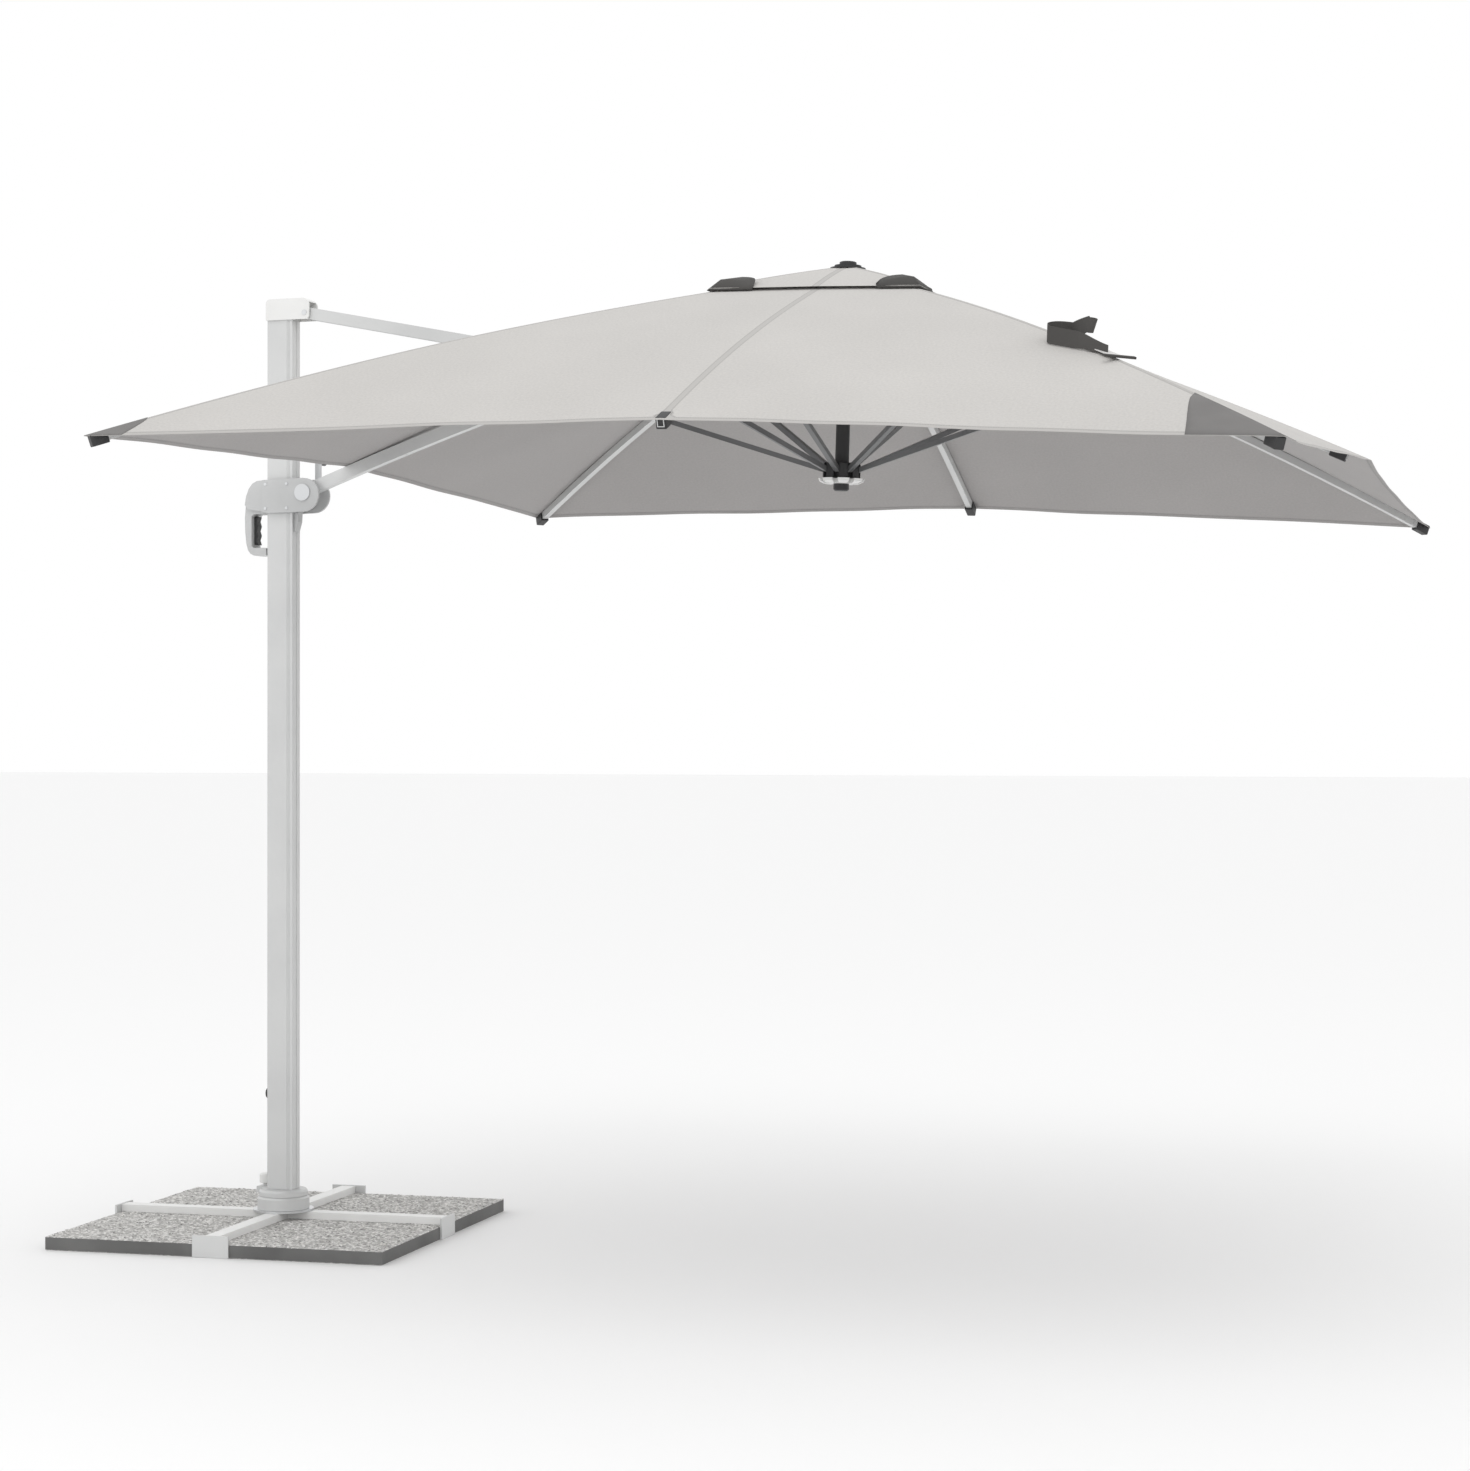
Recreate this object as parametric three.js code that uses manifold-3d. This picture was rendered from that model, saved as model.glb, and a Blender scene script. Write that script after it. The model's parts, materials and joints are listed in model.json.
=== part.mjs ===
// Cantilever parasol: square canopy, arched boom with a stay, slider on a side mast,
// slab-weighted cross base.
// Millimetres, +Z up. The origin is on the ground on the mast's axis; +X points to the canopy.
import * as THREE from 'three';
import { mergeVertices } from 'three/addons/utils/BufferGeometryUtils.js';
import Module from 'manifold-3d';

const wasm = await Module();
wasm.setup();

// Base
const BASE_TURN = THREE.MathUtils.degToRad(3.73);
const SLAB_SIZE = 499;
const SLAB_THICK = 38;
const SLAB_INNER = 16.5;
const ARM_WEB = 28;
const ARM_FLANGE = 45;
const ARM_TOP = 60;
const ARM_END = 516;
const BRACKET_WIDTH = 110;
const BRACKET_HEIGHT = 62;
const HUB_PLATE_RADIUS = 90;
const HUB_RADIUS = 77;
const SPINDLE_RADIUS = 26;
// Mast
const MAST_X = 82;
const MAST_Y = 50;
const MAST_WALL = 3;
const MAST_BOTTOM = 124;
const MAST_TOP = 2752;
// Slider, boom and stay pivots, in the row's X and Z
const SLIDER_PIVOT = [82, 2205];
const CROWN_PIVOT = [1682, 2690];
const STAY_TOP = [83, 2732.6];
const STAY_END = [1075, 2533];
const BOOM_WIDTH = 28;
const BOOM_HEIGHT = 36;
const BOOM_SAG = 29;
const BLADE_IN = 16;
const BLADE_OUT = 22;
const BLADE_HEIGHT = 34;
const PIN_RADIUS = 5;
const AXLE_RADIUS = 7.5;
// Canopy, in its own tilted frame
const POLE_X = 1737;
const EDGE_Z = 2173.3;
const TILT = THREE.MathUtils.degToRad(1.856);
const HALF_IN = 1533;
const HALF_OUT = 1467;
const HALF_Y = 1500;
const APEX = 602;
const BULGE = 44;
const FABRIC = 0.9;
const VENT_Q = 0.2;
const PANEL_INNER_Q = 0.1;
const PANEL_ROWS = 10;
const STRUT_INNER_TOP_Z = 265.8;
const FLAP_APEX = 620;
const RIB_WIDTH = 18;
const RIB_HEIGHT = 22;
const RIB_DROP = 16;
const RIB_ROOT_R = 55;
const RIB_ROOT_Z = 575;
const STRUT = 14;
const STRUT_TOP_R = 800;
const LUG_DROP = 19.5;
const RUNNER_R = 45;
const RUNNER_Z = 45;

const material = (color, roughness, metalness) =>
  new THREE.MeshStandardMaterial({ color, roughness, metalness });
const POWDER = () => material(0xd0d2d2, 0.45, 0.3);
const WHITE = () => material(0xe6e6e4, 0.5, 0.1);
const STEEL = () => material(0xc4c6c8, 0.3, 0.9);
const SILVER = () => material(0xb8baba, 0.5, 0.1);
const DARK = () => material(0x2e2e30, 0.55, 0.1);
const STONE = () => material(0xa6a29c, 0.95, 0.0);
const CLOTH = () => material(0xd2cfca, 0.95, 0.0);
const STRUT_GREY = () => material(0x6e7072, 0.5, 0.4);

const part = new THREE.Group();
part.name = 'cantilever_parasol';
const base = new THREE.Group();
base.rotation.z = BASE_TURN;
part.add(base);
const canopy = new THREE.Group();
canopy.position.set(POLE_X, 0, EDGE_Z);
canopy.rotation.y = TILT;
part.add(canopy);

function addMesh(parent, name, geometry, mat) {
  const mesh = new THREE.Mesh(geometry, mat);
  mesh.name = name;
  parent.add(mesh);
  return mesh;
}

// ---- solids -------------------------------------------------------------------------------------
function toSolid(geometry) {
  const g = geometry.clone();
  g.deleteAttribute('normal');
  g.deleteAttribute('uv');
  const m = mergeVertices(g, 1e-4);
  const mesh = new wasm.Mesh({
    numProp: 3,
    vertProperties: new Float32Array(m.attributes.position.array),
    triVerts: new Uint32Array(m.index.array),
  });
  mesh.merge();
  return new wasm.Manifold(mesh);
}

function toGeometry(solid) {
  const mesh = solid.getMesh();
  const g = new THREE.BufferGeometry();
  g.setAttribute('position', new THREE.BufferAttribute(new Float32Array(mesh.vertProperties), 3));
  g.setIndex(new THREE.BufferAttribute(new Uint32Array(mesh.triVerts), 1));
  g.computeVertexNormals();
  return g;
}

function union(...list) {
  return toGeometry(list.map(toSolid).reduce((a, b) => a.add(b)));
}

function cut(body, ...tools) {
  return toGeometry(tools.map(toSolid).reduce((a, b) => a.subtract(b), toSolid(body)));
}

function box(x0, x1, y0, y1, z0, z1) {
  const g = new THREE.BoxGeometry(x1 - x0, y1 - y0, z1 - z0);
  return g.translate((x0 + x1) / 2, (y0 + y1) / 2, (z0 + z1) / 2);
}

function cylinderZ(r, z0, z1, x = 0, y = 0, segments = 32) {
  const g = new THREE.CylinderGeometry(r, r, z1 - z0, segments);
  return g.rotateX(Math.PI / 2).translate(x, y, (z0 + z1) / 2);
}

function cylinderY(r, y0, y1, x, z, segments = 24) {
  const g = new THREE.CylinderGeometry(r, r, y1 - y0, segments);
  return g.translate(x, (y0 + y1) / 2, z);
}

function turned(points, segments = 40) {
  const g = new THREE.LatheGeometry(points.map(([r, z]) => new THREE.Vector2(r, z)), segments);
  return g.rotateX(Math.PI / 2);
}

// A flat outline in X and Z, extruded from y0 to y1.
function plateXZ(points, y0, y1) {
  const shape = new THREE.Shape(points.map(([x, z]) => new THREE.Vector2(x, z)));
  const g = new THREE.ExtrudeGeometry(shape, { depth: y1 - y0, bevelEnabled: false });
  return g.rotateX(Math.PI / 2).translate(0, y1, 0);
}

function arcPoints(cx, cz, r, from, to, count) {
  const list = [];
  for (let i = 0; i <= count; i += 1) {
    const t = THREE.MathUtils.degToRad(from + ((to - from) * i) / count);
    list.push([cx + r * Math.cos(t), cz + r * Math.sin(t)]);
  }
  return list;
}

// A band of constant height about a line of points, as an outline.
function bandOutline(points, height) {
  const up = [];
  const down = [];
  for (let i = 0; i < points.length; i += 1) {
    const a = points[Math.max(i - 1, 0)];
    const b = points[Math.min(i + 1, points.length - 1)];
    const l = Math.hypot(b[0] - a[0], b[1] - a[1]);
    const nx = (-(b[1] - a[1]) / l) * (height / 2);
    const nz = ((b[0] - a[0]) / l) * (height / 2);
    up.push([points[i][0] + nx, points[i][1] + nz]);
    down.push([points[i][0] - nx, points[i][1] - nz]);
  }
  return up.concat(down.reverse());
}

function stretchEnds(points, extra) {
  const out = points.map((p) => [...p]);
  const n = out.length - 1;
  const l0 = Math.hypot(out[1][0] - out[0][0], out[1][1] - out[0][1]);
  const l1 = Math.hypot(out[n][0] - out[n - 1][0], out[n][1] - out[n - 1][1]);
  for (const k of [0, 1]) {
    out[0][k] += ((points[0][k] - points[1][k]) * extra) / l0;
    out[n][k] += ((points[n][k] - points[n - 1][k]) * extra) / l1;
  }
  return out;
}

function hollowBand(points, width, height, wall) {
  const outer = plateXZ(bandOutline(points, height), -width / 2, width / 2);
  const hole = bandOutline(stretchEnds(points, 5), height - 2 * wall);
  return cut(outer, plateXZ(hole, -width / 2 + wall, width / 2 - wall));
}

// ---- base ---------------------------------------------------------------------------------------
function buildBase() {
  const c = SLAB_INNER + SLAB_SIZE / 2;
  const h = SLAB_SIZE / 2;
  for (const [i, sx, sy] of [[1, 1, -1], [2, 1, 1], [3, -1, 1], [4, -1, -1]]) {
    addMesh(base, `slab_${i}`, box(-h, h, -h, h, 0, SLAB_THICK), STONE()).position.set(sx * c, sy * c, 0);
  }
  const tee = (from, to) => union(
    box(from, to, -ARM_WEB / 2, ARM_WEB / 2, 0, 50),
    box(from, to, -ARM_FLANGE / 2, ARM_FLANGE / 2, SLAB_THICK + 0.5, ARM_TOP),
  );
  addMesh(base, 'cross_bar_long', tee(-ARM_END, ARM_END), WHITE());
  addMesh(base, 'cross_bar_far', tee(ARM_FLANGE / 2 + 0.4, ARM_END), WHITE()).rotation.z = Math.PI / 2;
  addMesh(base, 'cross_bar_near', tee(ARM_FLANGE / 2 + 0.4, ARM_END), WHITE()).rotation.z = -Math.PI / 2;
  const w = BRACKET_WIDTH / 2;
  for (const [name, turn] of [['right', 0], ['far', 1], ['left', 2], ['near', 3]]) {
    const plate = box(ARM_END + 0.4, ARM_END + 6.4, -w, w, 0, BRACKET_HEIGHT);
    addMesh(base, `end_bracket_${name}`, plate, POWDER()).rotation.z = (turn * Math.PI) / 2;
  }
  addMesh(base, 'hub_plate', turned([
    [0, 60.4], [HUB_PLATE_RADIUS, 60.4], [HUB_PLATE_RADIUS, 66], [0, 66],
  ]), STEEL());
  const r = SPINDLE_RADIUS + 0.08;
  addMesh(base, 'hub_housing', turned([
    [r, 66.3], [HUB_RADIUS, 66.3], [HUB_RADIUS, 98], [HUB_RADIUS - 5, 104], [r, 104], [r, 66.3],
  ], 48), POWDER());
}

// ---- mast ---------------------------------------------------------------------------------------
function buildMast() {
  const socket = union(
    turned([[0, 66.6], [SPINDLE_RADIUS, 66.6], [SPINDLE_RADIUS, 105], [72, 105], [72, 118], [68, 123.6],
      [0, 123.6]], 48),
    box(-100, -60, 20, 80, 105, 123.6),
  );
  addMesh(part, 'mast_socket', cut(socket, cylinderZ(6.2, 100, 130, -85, 50)), POWDER());
  addMesh(part, 'swivel_lock', turned([[0, 104.8], [6, 104.8], [6, 128], [18, 132], [18, 156], [14, 160],
    [0, 160]], 28), WHITE()).position.set(-85, 50, 0);
  const x = MAST_X / 2;
  const y = MAST_Y / 2;
  const groove = (g) => box(g - 0.7, g + 0.7, -y - 1, -y + 0.8, MAST_BOTTOM - 1, MAST_TOP + 1);
  const grooves = [24, 28, 32].map(groove);
  addMesh(part, 'mast', cut(
    box(-x, x, -y, y, MAST_BOTTOM, MAST_TOP),
    box(-x + MAST_WALL, x - MAST_WALL, -y + MAST_WALL, y - MAST_WALL, MAST_BOTTOM - 1, MAST_TOP + 1),
    box(x - 1, x + 1, -5, 5, MAST_BOTTOM - 1, MAST_TOP + 1),
    ...grooves,
  ), POWDER());
  const cap = plateXZ([[-44, 2713], [98, 2713], ...arcPoints(88, 2723, 10, -60, 0, 3), [98, 2748],
    ...arcPoints(76, 2754, 22, 10, 90, 5), [-30, 2776], ...arcPoints(-30, 2762, 14, 100, 180, 4)], -31, 31);
  addMesh(part, 'mast_cap', cut(
    cap,
    box(-x - 0.4, x + 0.4, -y - 0.4, y + 0.4, 2700, MAST_TOP + 0.4),
    box(x - 1, 120, -y - 0.4, y + 0.4, 2700, 2765),
    cylinderY(5.1, -32, 32, STAY_TOP[0], STAY_TOP[1]),
  ), WHITE());
  const knob = turned([[0, 0], [19.5, 0], [19.5, 6], [15, 11], [0, 11]], 28);
  const mesh = addMesh(part, 'mast_knob', knob, DARK());
  mesh.rotation.y = -Math.PI / 2;
  mesh.position.set(-x - 0.3, 0, 407);
}

function buildStay() {
  const angle = Math.atan2(STAY_END[1] - STAY_TOP[1], STAY_END[0] - STAY_TOP[0]);
  const length = Math.hypot(STAY_END[0] - STAY_TOP[0], STAY_END[1] - STAY_TOP[1]);
  const r = BLADE_HEIGHT / 2;
  const outline = [...arcPoints(0, 0, r, 90, 270, 10), ...arcPoints(length, 0, r, -90, 90, 10)];
  const stay = new THREE.Group();
  stay.position.set(STAY_TOP[0], 0, STAY_TOP[1]);
  stay.rotation.y = -angle;
  part.add(stay);
  for (const [side, y0, y1] of [['near', -BLADE_OUT, -BLADE_IN], ['far', BLADE_IN, BLADE_OUT]]) {
    const blade = plateXZ(outline, y0, y1);
    const pinBore = cylinderY(PIN_RADIUS + 0.1, -40, 40, 0, 0);
    const boltBore = cylinderY(4.1, -40, 40, length, 0);
    addMesh(stay, `stay_blade_${side}`, cut(blade, pinBore, boltBore), POWDER());
  }
  addMesh(stay, 'stay_pin', cylinderY(PIN_RADIUS, -33, 33, 0, 0), STEEL());
}

// ---- slider, crank and boom ---------------------------------------------------------------------
function buildSlider() {
  const x = MAST_X / 2 + 1;
  const y = MAST_Y / 2 + 1;
  const cheek = (y0, y1) => plateXZ([[-53, 2142], [-30, 2138], ...arcPoints(84, 2190, 50, -90, 90, 14),
    [-50, 2237], [-53, 2234]], y0, y1);
  const [px, pz] = SLIDER_PIVOT;
  const fin = plateXZ([[42.2, 2150], [56, 2150], [54, 2112], [45, 2082], [42.2, 2082]], -15, 15);
  const housing = union(box(-53, 52, -33.5, 33.5, 2138, 2233), cheek(33, 41), cheek(-41, -33), fin);
  const cleared = cut(
    housing,
    box(-x, x, -y, y, 2070, 2300),
    cylinderY(8.1, -45, 45, px, pz),
    box(-60, -53.2, -50, 50, 2070, 2300),
  );
  addMesh(part, 'slider_housing', cleared, SILVER());
  addMesh(part, 'pivot_disc_near', cylinderY(25, -45, -41.3, px, 2197, 36), STEEL());
  addMesh(part, 'pivot_disc_far', cylinderY(25, 41.3, 45, px, 2197, 36), STEEL());
  const outer = plateXZ([[-53.5, 2236], [-70, 2235], [-85, 2227], [-97, 2212], [-106, 2188], [-111, 2160],
    [-114, 2125], [-113, 2085], [-109, 2048], [-104, 2030], [-96, 2019], [-84, 2013], [-44, 2013],
    [-44, 2035], [-53.5, 2037], [-53.5, 2060], [-53.5, 2140]], -29, 29);
  const gap = plateXZ([
    [-92, 2042], [-86, 2036], [-43, 2036], [-43, 2137], [-84, 2137], [-92, 2130],
  ], -32, 32);
  const full = union(outer, plateXZ([[-53.5, 2236], [-70, 2235], [-85, 2227], [-97, 2212], [-106, 2188],
    [-110, 2164], [-98, 2150], [-53.5, 2144]], -38, 38));
  addMesh(part, 'slider_handle', cut(full, gap), SILVER());
  const wave = [];
  for (let i = 0; i <= 12; i += 1) {
    wave.push([-80.5 + 2.2 * Math.cos((i / 12) * Math.PI * 6), 2046 + (i * 84) / 12]);
  }
  const lever = plateXZ([[-91.2, 2046], ...wave, [-91.2, 2129]], -12, 12);
  addMesh(part, 'latch_lever', lever, DARK());
  const arm = union(box(px - 9, px + 9, 62, 70, pz, 2296), cylinderY(13, 62, 70, px, pz),
    cylinderY(9, 62, 70, px, 2296), cylinderY(7.9, 45.4, 64, px, pz));
  addMesh(part, 'crank_arm', cut(arm, cylinderY(3.2, 60, 72, px, 2296)), STEEL());
  const knob = union(cylinderY(3, 62.4, 75, px, 2296), cylinderY(9, 70.4, 106, px, 2296));
  addMesh(part, 'crank_knob', knob, DARK());
}

function boomLine(count) {
  const [x0, z0] = SLIDER_PIVOT;
  const [x1, z1] = CROWN_PIVOT;
  const l = Math.hypot(x1 - x0, z1 - z0);
  const ux = (x1 - x0) / l;
  const uz = (z1 - z0) / l;
  const list = [];
  for (let i = 0; i <= count; i += 1) {
    const t = i / count;
    const h = 4 * BOOM_SAG * t * (1 - t);
    list.push([x0 + ux * l * t - uz * h, z0 + uz * l * t + ux * h]);
  }
  return list;
}

function buildBoom() {
  const [px, pz] = SLIDER_PIVOT;
  const line = boomLine(24);
  const w = BOOM_WIDTH / 2;
  const tube = hollowBand(line, BOOM_WIDTH, BOOM_HEIGHT, 2);
  const [a, z] = [-STRUT_TOP_R, STRUT_INNER_TOP_Z];
  const lx = POLE_X + a * Math.cos(TILT) + z * Math.sin(TILT);
  const lz = EDGE_Z - a * Math.sin(TILT) + z * Math.cos(TILT);
  const floor = boomHeight(lx) - BOOM_HEIGHT / 2 / Math.cos(0.29) + 1.2;
  const rise = 14 * Math.tan(0.29);
  const lug = (y0, y1) => plateXZ([...arcPoints(lx, lz, 8.5, 180, 360, 8), [lx + 14, floor + rise],
    [lx - 14, floor - rise]], y0, y1);
  const body = union(
    tube, cylinderY(18, -w, w, px, pz), cylinderY(17, -w, w, ...CROWN_PIVOT),
    lug(8.5, 11.5), lug(-11.5, -8.5),
  );
  const drain = cylinderZ(4, boomHeight(400) - 30, boomHeight(400), 400, 0, 16);
  addMesh(part, 'boom', cut(
    body, drain, cylinderY(AXLE_RADIUS + 0.1, -20, 20, px, pz), cylinderY(6.1, -20, 20, ...CROWN_PIVOT),
    cylinderY(3.2, -20, 20, lx, lz, 16),
  ), POWDER());
  addMesh(part, 'boom_axle', cylinderY(AXLE_RADIUS, -41, 41, px, pz), STEEL());
}

function boomHeight(x) {
  const line = boomLine(60);
  const i = line.findIndex((p) => p[0] > x);
  const [a, b] = [line[i - 1], line[i]];
  return a[1] + ((x - a[0]) * (b[1] - a[1])) / (b[0] - a[0]);
}

// ---- canopy -------------------------------------------------------------------------------------
function fabricRise(side) {
  return { outer: 80, inner: 50, near: 45, far: 45 }[side];
}

function fabricPoint(side, q, s) {
  const hem = q * (1 - 0.012 * q * 4 * Math.abs(s) * (1 - Math.abs(s)));
  const z = APEX * (1 - q) + 4 * BULGE * q * (1 - q) + fabricRise(side) * q * q * (1 - Math.abs(s));
  if (side === 'outer') return [HALF_OUT * hem, HALF_Y * q * s, z];
  if (side === 'inner') return [-HALF_IN * hem, -HALF_Y * q * s, z];
  const half = s > 0 === (side === 'near') ? HALF_OUT : HALF_IN;
  if (side === 'near') return [half * q * s, -HALF_Y * hem, z];
  return [-half * q * s, HALF_Y * hem, z];
}

// The two inner panels meet on the boom's line, and open into a slit where the stay passes through.
function isSlit(side, s) {
  return side === 'inner' && Math.abs(Math.abs(s) - SLIT) < 1e-6;
}

function slitPlace(q, s) {
  const width = q > 0.33 && q < 0.68 ? 27 : 0.8;
  return (Math.sign(s) * width) / (HALF_Y * q);
}

// The fabric between two places on the edge, from q0 to q1, as one thin closed shell.
function fabricShell(spans, q0, q1, rows) {
  const lines = [];
  for (const [side, from, to, columns] of spans) {
    for (let j = 0; j <= columns; j += 1) {
      if (lines.length && j === 0) continue;
      lines.push([side, from + ((to - from) * j) / columns]);
    }
  }
  const positions = [];
  for (const drop of [0, FABRIC]) {
    for (let i = 0; i <= rows; i += 1) {
      const q = q0 + ((q1 - q0) * i) / rows;
      for (const [side, s] of lines) {
        const [x, y, z] = fabricPoint(side, q, isSlit(side, s) ? slitPlace(q, s) : s);
        positions.push(x, y, z - drop);
      }
    }
  }
  const n = lines.length;
  const layer = (rows + 1) * n;
  const index = [];
  const quad = (a, b, c, d) => index.push(a, b, c, a, c, d);
  for (let i = 0; i < rows; i += 1) {
    for (let j = 0; j < n - 1; j += 1) {
      const a = i * n + j;
      quad(a, a + n, a + n + 1, a + 1);
      quad(layer + a, layer + a + 1, layer + a + n + 1, layer + a + n);
    }
    const e = i * n;
    quad(e, layer + e, layer + e + n, e + n);
    const f = i * n + n - 1;
    quad(f, f + n, layer + f + n, layer + f);
  }
  for (let j = 0; j < n - 1; j += 1) {
    quad(j, j + 1, layer + j + 1, layer + j);
    const k = rows * n + j;
    quad(k, layer + k, layer + k + 1, k + 1);
  }
  const g = new THREE.BufferGeometry();
  g.setAttribute('position', new THREE.BufferAttribute(new Float32Array(positions), 3));
  g.setIndex(index);
  g.computeVertexNormals();
  return g;
}

// Panels meet half-way between ribs, a hair apart; these are places along an edge from -1 to 1.
const S = 0.4993;
const S_NEXT = 0.5007;
const SLIT = 0.022;
const PANELS = [
  ['panel_near', [['near', -S, S, 10]]],
  ['panel_near_outer', [['near', S_NEXT, 1, 6], ['outer', -1, -S_NEXT, 6]]],
  ['panel_outer', [['outer', -S, S, 10]]],
  ['panel_far_outer', [['outer', S_NEXT, 1, 6], ['far', -1, -S_NEXT, 6]]],
  ['panel_far', [['far', -S, S, 10]]],
  ['panel_far_inner', [['far', S_NEXT, 1, 6], ['inner', -1, -SLIT, 12]]],
  ['panel_near_inner', [['inner', SLIT, 1, 12], ['near', -1, -S_NEXT, 6]]],
];

// Each rib: name, direction in the canopy's plan, and the fabric side and place it follows.
const RIBS = [
  ['near', 0, -HALF_Y, 'near', 0, 1],
  ['near_outer', HALF_OUT, -HALF_Y, 'outer', -1, 1],
  ['outer', HALF_OUT, 0, 'outer', 0, 0.966],
  ['far_outer', HALF_OUT, HALF_Y, 'outer', 1, 1],
  ['far', 0, HALF_Y, 'far', 0, 1],
  ['far_inner', -HALF_IN, HALF_Y, 'inner', -1, 1],
  ['near_inner', -HALF_IN, -HALF_Y, 'inner', 1, 1],
];

function ribLine(side, s, qEnd) {
  const list = [[RIB_ROOT_R, RIB_ROOT_Z]];
  for (let i = 1; i <= 14; i += 1) {
    const q = 0.075 + ((qEnd * 0.992 - 0.075) * i) / 14;
    const [x, y, z] = fabricPoint(side, q, s);
    list.push([Math.hypot(x, y), z - RIB_DROP]);
  }
  return list;
}

function heightAt(line, r) {
  const i = line.findIndex((p) => p[0] > r);
  const [a, b] = [line[i - 1], line[i]];
  return a[1] + ((r - a[0]) * (b[1] - a[1])) / (b[0] - a[0]);
}

function strutBody(rTop, zTop) {
  const angle = Math.atan2(zTop - RUNNER_Z, rTop - RUNNER_R);
  const length = Math.hypot(rTop - RUNNER_R, zTop - RUNNER_Z);
  const h = STRUT / 2;
  const outline = [...arcPoints(0, 0, h, 90, 270, 8), ...arcPoints(length, 0, h, -90, 90, 8)];
  const bar = union(plateXZ(outline, -h, h), cylinderY(3, -11.3, 11.3, length, 0, 16));
  return bar.rotateY(-angle).translate(RUNNER_R, 0, RUNNER_Z);
}

function buildRibs() {
  for (const [name, dx, dy, side, s, qEnd] of RIBS) {
    const spoke = new THREE.Group();
    spoke.rotation.z = Math.atan2(dy, dx);
    canopy.add(spoke);
    const line = ribLine(side, s, qEnd);
    const z = heightAt(line, STRUT_TOP_R) - LUG_DROP;
    const r = STRUT_TOP_R;
    const lug = (y0, y1) => plateXZ([
      ...arcPoints(r, z, 8, 180, 360, 8), [r + 12, z + 15], [r - 12, z + 23],
    ], y0, y1);
    const tube = hollowBand(line, RIB_WIDTH, RIB_HEIGHT, 2);
    const root = cylinderY(11, -9, 9, RIB_ROOT_R, RIB_ROOT_Z);
    const body = union(tube, lug(8.5, 11.5), lug(-11.5, -8.5), root);
    addMesh(spoke, `rib_${name}`, cut(body, cylinderY(3.2, -20, 20, r, z, 16)), POWDER());
    addMesh(spoke, `strut_${name}`, strutBody(r, z), STRUT_GREY());
  }
  const spoke = new THREE.Group();
  spoke.rotation.z = Math.PI;
  canopy.add(spoke);
  addMesh(spoke, 'strut_inner', strutBody(STRUT_TOP_R, STRUT_INNER_TOP_Z), STRUT_GREY());
}

function buildHub() {
  const angles = [...RIBS.map(([, dx, dy]) => Math.atan2(dy, dx)), Math.PI];
  const slots = (r, z0, z1) => angles.map((a) => box(r, 120, -8, 8, z0, z1).rotateZ(a));
  const cx = CROWN_PIVOT[0] - POLE_X;
  const cz = CROWN_PIVOT[1] - EDGE_Z;
  const ca = cx * Math.cos(TILT) - cz * Math.sin(TILT);
  const cc = cx * Math.sin(TILT) + cz * Math.cos(TILT);
  const cheek = (y0, y1) => plateXZ([
    ...arcPoints(ca, cc, 17, 90, 270, 8), [-30, cc - 17], [-30, cc + 17],
  ], y0, y1);
  const core = union(
    turned([[0, 482], [38, 482], [38, 590], [64, 592.5], [64, 597], [0, 597]], 40),
    cheek(15.5, 20.5),
    cheek(-20.5, -15.5),
    cylinderY(6, -20.5, 20.5, ca, cc),
  );
  addMesh(canopy, 'crown', cut(core, cylinderZ(20.2, 470, 500)), DARK());
  addMesh(canopy, 'finial', turned([[0, 621], [50, 609.5], [50, 613], [38, 615], [38, 620], [24, 621],
    [24, 629], [20, 631], [0, 631]], 32), DARK());
  const hub = turned([[0, 22], [53, 22], [53, 62], [49, 66.4], [0, 66.4]], 48);
  addMesh(canopy, 'runner_hub', cut(hub, ...slots(34, 10, 80)), DARK());
  const dish = turned([[0, 8], [50, 8], [62, 14], [65, 21.6], [0, 21.6]], 48);
  addMesh(canopy, 'runner_dish', cut(dish, ...slots(34, 0, 30)), WHITE());
  addMesh(canopy, 'runner_knob', turned([[0, -12], [18, -12], [22, -8], [22, 7.6], [0, 7.6]], 28), DARK());
  addMesh(canopy, 'runner_tube', turned([[0, 66.8], [19.5, 66.8], [19.5, 492], [0, 492]], 28), DARK());
}

function buildPanels() {
  for (const [name, spans] of PANELS) {
    addMesh(canopy, name, fabricShell(spans, PANEL_INNER_Q, 1, PANEL_ROWS), CLOTH());
  }
  const spans = [['near', -1, 1, 16], ['outer', -1, 1, 16], ['far', -1, 1, 16], ['inner', -1, 1, 16]];
  addMesh(canopy, 'vent_flap', ventShell(spans), CLOTH());
}

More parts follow.
